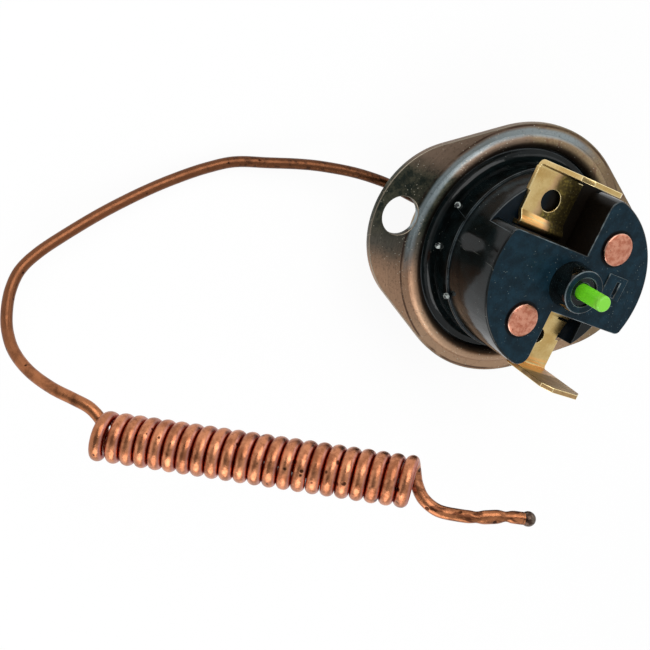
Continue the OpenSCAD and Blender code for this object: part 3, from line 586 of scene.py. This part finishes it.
# Surfaces from numpy arrays
def skin(name, rings, material, slot=None, body=None, **values):
    """Object with smooth faces over rings of points in millimetres, an array of rings x points x
    3: each ring closes on itself, and each point is joined with the next one round and with the
    same point of the ring that follows. Its faces point outwards where a ring turns clockwise as
    seen from the next. It rides on a body, if one is given. Each further value is an attribute
    with a number for each point."""
    rows, count = rings.shape[:2]
    start = np.arange(rows - 1)[:, None] * count
    here = np.arange(count)[None, :]
    after = (here + 1) % count
    corners = [start + here, start + count + here, start + count + after, start + after]
    faces = np.stack(corners, -1).reshape(-1, 4)
    data = bpy.data.meshes.new(name)
    data.from_pydata((rings.reshape(-1, 3) * MM).tolist(), [], faces.tolist())
    data.polygons.foreach_set("use_smooth", np.ones(len(faces), bool))
    for label, numbers in values.items():
        attribute = data.attributes.new(label, "FLOAT", "POINT")
        attribute.data.foreach_set("value", numbers.astype(np.float32))
    data.materials.append(material)
    data.update()
    made = placed(name, data)
    if body:
        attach(made, body)
    return made


def unit(v):
    """Vectors made one unit long: each divided by its length."""
    return v / np.linalg.norm(v, axis=-1, keepdims=True)


def smooth(value, low, high):
    """Smooth step from 0 at low to 1 at high."""
    t = np.clip((value - low) / (high - low), 0, 1)
    return t * t * (3 - 2 * t)


# Capillary tube, from the coil's own three directions: along its axis, to its side and upwards
COIL_ALONG = np.array((math.cos(COIL_CLIMB) * math.cos(COIL_HEADING),
                       math.cos(COIL_CLIMB) * math.sin(COIL_HEADING), math.sin(COIL_CLIMB)))
COIL_SIDE = np.array((-math.sin(COIL_HEADING), math.cos(COIL_HEADING), 0))
COIL_UP = np.cross(COIL_ALONG, COIL_SIDE)


def coil_out(angle):
    """Direction from the coil's axis to the tube, turning left-handed with the angle."""
    angle = np.asarray(angle)[..., None]
    return COIL_SIDE * np.cos(COIL_FRONT - angle) + COIL_UP * np.sin(COIL_FRONT - angle)


def coil_point(angle):
    """Helix round the coil's axis; the angle is 2 pi at the first front strand, and the first
    two turns stand a little apart."""
    turns = np.asarray(angle)[..., None] / (2 * math.pi)
    shift = COIL_PITCH * (turns - 1) - COIL_LOOSE * np.maximum(0, 1 - turns / 2)
    return COIL_START + coil_out(angle) * COIL_R + COIL_ALONG * shift


def smooth_curve(points, steps):
    """Catmull-Rom curve through points 1 to n-2: the cubic that passes each with the slope of
    its neighbours' chord."""
    p = np.asarray(points, float)
    a, b, c, d = p[:-3, None], p[1:-2, None], p[2:-1, None], p[3:, None]
    t = (np.arange(steps) / steps)[None, :, None]
    curve = (2 * b + (c - a) * t + (2 * a - 5 * b + 4 * c - d) * t ** 2
             + (3 * b - a - 3 * c + d) * t ** 3) / 2
    return curve.reshape(-1, 3)


def tube_path():
    """Centre line of the tube in three stretches: lead, coil and tail, and the coil's angles. The
    lead and the tail are smooth curves through their points, with one more point at each end
    that gives the slope there."""
    outward = np.array((math.cos(EXIT_ANGLE), math.sin(EXIT_ANGLE), 0))
    leave = [(CUP_R + far) * outward - (0, 0, EXIT_DEPTH) for far in EXIT_REACH]
    lead = smooth_curve([2 * leave[0] - leave[1], *leave, *LEAD, coil_point(COIL_FIRST),
                         coil_point(COIL_FIRST + SLOPE_STEP)], LEAD_STEPS)
    angles = np.arange(COIL_FIRST, COIL_LAST - 1e-6, RING_STEP)
    tail = smooth_curve([coil_point(COIL_LAST - SLOPE_STEP), coil_point(COIL_LAST), *TAIL,
                         2 * np.array(TAIL[-1]) - TAIL[-2]], TAIL_STEPS)
    return lead, coil_point(angles), np.vstack([tail, [TAIL[-1]]]), angles


def carried(ahead, first):
    """Side directions carried from ring to ring with no twist: each is the last one, made
    square to the path again."""
    sides = [first]
    for along in ahead:
        sides.append(unit(sides[-1] - np.dot(sides[-1], along) * along))
    return np.array(sides[1:])


def tube_rings(path, ahead, sides, flat, radius, count):
    """Rings of a tube: the path's point plus an ellipse across it, of the given radius, thinner
    along the side direction and wider square to it by the share flat. They turn the way that
    skin() asks for."""
    angle = np.linspace(0, 2 * np.pi, count, endpoint=False)
    other = np.cross(sides, ahead)
    narrow = ((1 - flat / 2)[:, None] * np.cos(angle))[..., None] * sides[:, None]
    wide = ((1 + flat)[:, None] * np.sin(angle))[..., None] * other[:, None]
    return path[:, None] + np.reshape(radius, (-1, 1, 1)) * (narrow + wide)


def capillary(material):
    """The copper tube: oval in the coil, where winding has widened it, and pinched flat near its
    end between two necks, which are bell curves taken off the radius. Its side directions point
    out of the coil and are carried along the lead and the tail."""
    lead, coil, tail, angles = tube_path()
    path = np.vstack([lead, coil, tail])
    ahead = unit(np.gradient(path, axis=0))
    outs = coil_out(angles)
    first, last = len(lead), len(lead) + len(coil)
    sides = np.vstack([carried(ahead[:first][::-1], outs[0])[::-1], outs,
                       carried(ahead[last:], outs[-1])])
    sides = unit(sides - np.sum(sides * ahead, axis=1, keepdims=True) * ahead)
    quarter = math.pi / 2
    oval = COIL_OVAL * np.minimum(1, np.minimum(angles - COIL_FIRST, COIL_LAST - angles) / quarter)
    share = np.arange(len(tail)) / len(tail)
    crimp = CRIMP_FLAT * (smooth(share, *CRIMP_START) - smooth(share, *CRIMP_END))
    flat = np.concatenate([np.zeros(len(lead)), oval, crimp])
    necks = sum(deep * np.exp(-((share - at) / NECK_WIDTH) ** 2) for at, deep in NECKS)
    radius = TUBE_R * np.concatenate([np.ones(last), 1 - necks])
    grid = tube_rings(path, ahead, sides, flat, radius, TUBE_SIDES)
    length = np.concatenate([[0], np.cumsum(np.linalg.norm(np.diff(path, axis=0), axis=1))])
    on_coil = np.zeros(len(path))
    on_coil[first:last] = np.minimum(1, np.arange(len(coil)) / RINGS_TO_LEAN)
    lean = np.sum((grid - path[:, None]) * COIL_ALONG, axis=-1) / TUBE_R * on_coil[:, None]
    tube = skin("capillary", grid, material, "copper_tube", "base",
                along=np.repeat(length / length[-1], grid.shape[1]), lean=lean.ravel())
    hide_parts("capillary_tube")


def tip(material):
    """Bead of solder on the tube's end: a profile carried round the tube's last direction. The
    profile leaves the tube and then follows a ball of radius TIP_R to its pole."""
    end = np.array(TAIL[-1], float)
    last = smooth_curve([TAIL[-3], TAIL[-2], TAIL[-1], 2 * end - TAIL[-2]], TAIL_STEPS)[-1]
    ahead = unit(end - last)
    side = unit(np.cross(ahead, (0, 0, 1.0)))
    other = np.cross(ahead, side)
    around = np.radians(np.linspace(TIP_BALL, 0, TIP_RINGS))
    back, wider = np.array(TIP_COLLAR).T
    reach = np.concatenate([back, TIP_CENTRE + TIP_R * np.cos(around)])
    radius = np.concatenate([TUBE_R + wider, TIP_R * np.sin(around)])
    turn = np.linspace(0, 2 * np.pi, TIP_SIDES, endpoint=False)
    ring = np.cos(turn)[:, None] * side + np.sin(turn)[:, None] * other
    grid = end + reach[:, None, None] * ahead + radius[:, None, None] * ring[None]
    bead = skin("solder_tip", grid, material, "solder", "base")
    closed(bead)
    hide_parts("tip_seal")


def button_spring(material):
    """Coil spring under the button's collar: a helix of wire with its first and last turn closed.
    Its height follows the turn count t, by the wire's thickness for each closed turn and by the
    pitch for each open one."""
    low, high = (np.array(corner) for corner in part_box("reset_spring"))
    radius = (high[0] - low[0]) / MM / 2 - SPRING_WIRE / 2
    bottom, top = low[2] / MM + SPRING_WIRE / 2, high[2] / MM - SPRING_WIRE / 2
    pitch = (top - bottom - SPRING_CLOSED * SPRING_WIRE) / SPRING_TURNS
    turns = SPRING_TURNS + SPRING_CLOSED
    t = np.linspace(0, turns, SPRING_RINGS * turns + 1)
    lying = np.minimum(t, 1) + np.maximum(0, t - turns + 1)
    height = bottom + lying * SPRING_WIRE + (t - lying) * pitch
    outs = np.stack([np.cos(2 * np.pi * t), np.sin(2 * np.pi * t), 0 * t], -1)
    path = radius * outs + height[:, None] * np.array((0, 0, 1))
    ahead = unit(np.gradient(path, axis=0))
    grid = tube_rings(path, ahead, outs, 0 * t, SPRING_WIRE / 2, SPRING_SIDES)
    made = skin("button_spring", grid, material, "spring_steel", "base")
    closed(made)
    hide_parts("reset_spring")
    press = next(j for j in frame["record"]["behaviour"]["joints"] if j["name"] == "button_press")
    keep = 1 - press["range_m"][1] / (high[2] - low[2])
    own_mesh(made)


def closed(piece):
    """Merges a pole's doubled points, closes open ends and turns the faces outwards."""
    mesh = bmesh.new()
    mesh.from_mesh(piece.data)
    bmesh.ops.remove_doubles(mesh, verts=mesh.verts, dist=POLE_POINT * MM)
    rims = [e for e in mesh.edges if len(e.link_faces) == 1]
    bmesh.ops.holes_fill(mesh, edges=rims)
    bmesh.ops.recalc_face_normals(mesh, faces=mesh.faces)
    mesh.to_mesh(piece.data)
    mesh.free()


def dressed(node, name, edge, materials, body="base", choice=None):
    """A copy of a node's mesh, merged, with its outward edges rounded by edge millimetres so that
    they catch the light, and its inward corners kept sharp in the shading; the copy stands for
    the node. The last material is the edges' own, and choice gives the number of each face's
    material from the faces' centres, normals and areas."""
    mesh = bmesh.new()
    mesh.from_mesh(nodes[node].data)
    bmesh.ops.remove_doubles(mesh, verts=mesh.verts, dist=SAME_POINT * MM)
    bmesh.ops.dissolve_limit(mesh, angle_limit=math.radians(FLAT_ANGLE), verts=mesh.verts,
                             edges=mesh.edges)
    bmesh.ops.remove_doubles(mesh, verts=mesh.verts, dist=SHORT_EDGE * MM)
    bmesh.ops.dissolve_degenerate(mesh, edges=mesh.edges, dist=SHORT_EDGE * MM)
    weight = mesh.edges.layers.float.new("bevel_weight_edge")
    for side in mesh.edges:
        sharp = side.calc_face_angle(0) > math.radians(EDGE_ANGLE)
        side[weight] = float(side.is_convex and sharp)
        side.smooth = side.is_convex or not sharp
    data = bpy.data.meshes.new(name)
    mesh.to_mesh(data)
    mesh.free()
    data.polygons.foreach_set("use_smooth", np.ones(len(data.polygons), bool))
    data.materials.clear()
    for material in materials:
        data.materials.append(material)
    if choice:
        centres, normals = np.empty((2, len(data.polygons), 3))
        areas = np.empty(len(data.polygons))
        data.polygons.foreach_get("center", centres.ravel())
        data.polygons.foreach_get("normal", normals.ravel())
        data.polygons.foreach_get("area", areas)
        numbers = choice(centres / MM, normals, areas / MM ** 2)
        data.polygons.foreach_set("material_index", numbers.astype(np.int32))
    made = placed(name, data)
    bevel = made.modifiers.new("edge", "BEVEL")
    bevel.width = edge * MM
    bevel.segments = 2
    bevel.limit_method = "WEIGHT"
    bevel.material = len(materials) - 1
    bevel.use_clamp_overlap = False
    made.modifiers.new("shading", "WEIGHTED_NORMAL").keep_sharp = True
    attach(made, body)
    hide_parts(node)


def housing_faces(centres, normals, areas):
    """0 outside, 1 on the flat outer face and the small pad, 2 on the pockets' floors and walls,
    3 on the pips, which are the small faces on the neck."""
    radius = np.hypot(centres[:, 0], centres[:, 1])
    height = centres[:, 2]
    outer = (normals[:, 2] > 0.99) & (height > FACE_Z - 0.01)
    pocket = (radius < POCKET_R) & (height < POCKET_RIM) & (height > POCKET_LOW)
    pip = (areas < PIP_FACE) & (radius > POCKET_R) & (height < FACE_Z / 2)
    return np.select([outer, pocket, pip], [1, 2, 3], 0)


def look_of(node, material):
    """Gives a CAD node its material."""
    data = nodes[node].data
    data.materials.clear()
    data.materials.append(material)


# Floor and lights
def stage():
    """Round white floor that rises to a low wall far out, as a quarter of an ellipse: white to
    the camera and in reflections, with a faint shadow."""
    low = cad_box[0][2] / MM - FLOOR_GAP
    f = Finish("floor", Base_Color=(0.9, 0.9, 0.9), Roughness=0.9)
    camera = f.node("ShaderNodeLightPath", {}, out="Is Camera Ray")
    glossy = f.node("ShaderNodeLightPath", {}, out="Is Glossy Ray")
    through = f.node("ShaderNodeLightPath", {}, out="Is Transmission Ray")
    white = ((camera + glossy + through) * FLOOR_WHITE).clipped()
    glow = f.node("ShaderNodeEmission", {}, Color=(1.0, 1.0, 1.0), Strength=1.0)
    blend = f.node("ShaderNodeMixShader", {}, white, Value(f, f.shader.outputs[0]), glow)
    f.tree.links.new(blend.socket, f.tree.nodes["Material Output"].inputs[0])
    rise = np.linspace(0, math.pi / 2, WALL_RINGS)
    out = np.concatenate([[0.0], FLOOR_R + WALL_R * np.sin(rise)])
    up = np.concatenate([[0.0], WALL_H * (1 - np.cos(rise))])
    turn = np.linspace(0, 2 * np.pi, FLOOR_SIDES, endpoint=False)
    grid = np.stack([out[:, None] * np.cos(turn), out[:, None] * np.sin(turn),
                     low + up[:, None] + 0 * turn], -1)
    skin("floor", grid, f.material)


def lamp(name, place, aim, size, power):
    """Square soft lamp at a place, aimed at a point; both in millimetres."""
    data = bpy.data.lights.new(name, "AREA")
    data.size = size * MM
    data.energy = power
    made = placed(name, data)
    made.location = Vector(place) * MM
    made.rotation_euler = (Vector(aim) - Vector(place)).to_track_quat("-Z", "Y").to_euler()


def lights():
    """Dim surroundings that brighten softly towards WORLD_BRIGHT, and the soft lamps."""
    world = bpy.data.worlds.new("studio")
    world.use_nodes = True
    tree = world.node_tree
    place = tree.nodes.new("ShaderNodeTexCoord")
    toward = tree.nodes.new("ShaderNodeVectorMath")
    toward.operation = "DOT_PRODUCT"
    toward.inputs[1].default_value = WORLD_BRIGHT
    rise = tree.nodes.new("ShaderNodeMapRange")
    rise.interpolation_type = "SMOOTHSTEP"
    for name, value in WORLD_RISE.items():
        rise.inputs[name].default_value = value
    tree.links.new(place.outputs["Generated"], toward.inputs[0])
    tree.links.new(toward.outputs["Value"], rise.inputs["Value"])
    tree.nodes["Background"].inputs[0].default_value = WORLD_TINT
    tree.links.new(rise.outputs[0], tree.nodes["Background"].inputs[1])
    bpy.context.scene.world = world
    for values in LAMPS:
        lamp(*values)


make_camera()
bpy.context.scene.view_settings.view_transform = "Standard"
stage()
lights()

brass = brass_sheet()
rivet = copper_rivet()
moulding = black_moulding()
spring = plain_metal("spring_steel", "a9acae", 0.2)
silver = plain_metal("contact_silver", "dcdcd8", 0.15)
looks = {
    "pressure_cup": plain_metal("cup_steel", "a08e76", 0.3),
    "diaphragm": spring,
    "diaphragm_pad": spring,
    "guide_plate": dull_plain("laminate", "4a3020", 0.5),
    "pivot_bush": brass,
    "contact_arm": plain_metal("bronze_strip", "c58b4e", 0.25),
    "moving_contact": silver,
    "fixed_contact": silver,
    "transfer_pin": dull_plain("white_ceramic", "e6e2d6", 0.4),
    "button_clip": spring,
    "braze_fillet": plain_metal("braze", "c9a15e", 0.3),
}
for node, material in looks.items():
    look_of(node, material)
# Pale gold on the brass edges: painted highlight.
brass_edge = plain_metal("brass_edge", "ffe8b0", 0.15)
# Pale rim on the rivet heads' edges: painted highlight.
rivet_rim = plain_metal("rivet_rim", "d9a792", 0.2)
rubbed_and_lit = worn_edge()
steel = flange_steel()
green = green_plastic()
dressed("flange", "oval_flange", 0.1, [steel, plain_metal("sheet_edge", "867c6e", 0.3)])
body_looks = [moulding, moulded_face(), moulded_pocket(), bare_pip(), rubbed_and_lit]
dressed("housing", "moulded_body", 0.11, body_looks, choice=housing_faces)
dressed("button_guide", "boss_ring", 0.1, [moulding, rubbed_and_lit])
# The button's rounded edges take a pale green painted highlight.
dressed("reset_button", "green_button", 0.08, [green, dull_plain("button_edge", "b0e878", 0.35)],
        body="button")
dressed("upper_terminal", "upper_brass_tab", 0.07, [brass, brass_edge])
dressed("lower_terminal", "lower_brass_tab", 0.07, [brass, brass_edge])
dressed("upper_rivet", "upper_rivet_head", 0.09, [rivet, rivet_rim])
dressed("lower_rivet", "lower_rivet_head", 0.09, [rivet, rivet_rim])
capillary(copper_tube())
tip(solder_bead())
button_spring(spring)
